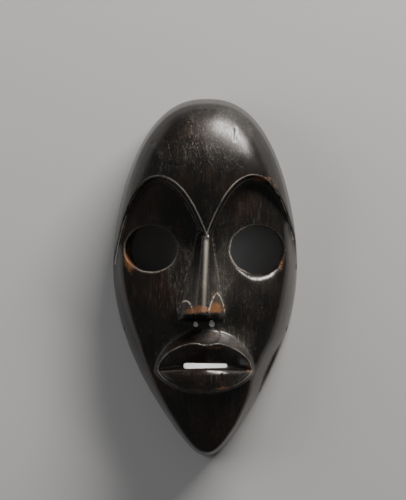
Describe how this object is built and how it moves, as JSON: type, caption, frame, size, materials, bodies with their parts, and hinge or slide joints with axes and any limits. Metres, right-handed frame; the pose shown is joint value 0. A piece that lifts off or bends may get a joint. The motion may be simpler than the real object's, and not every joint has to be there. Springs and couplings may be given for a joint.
{
  "type": "dan mask",
  "caption": "Carved wooden face mask with a domed forehead, arched brows, round eye openings, straight nose and full parted lips, hollow behind to fit over a face.",
  "frame": {"origin": "on the plane of the back rim, at the centre of the mask's width and height", "axes": "+X across the face, to the right for someone looking at it; +Y from chin to crown; +Z out of the face"},
  "size_m": [0.1264, 0.245, 0.071],
  "materials": {
    "wood": "dark brown, nearly black, polished by handling, with bare orange-brown wood on worn edges"
  },
  "bodies": {
    "root": {"mask": "wood"}
  },
  "joints": []
}
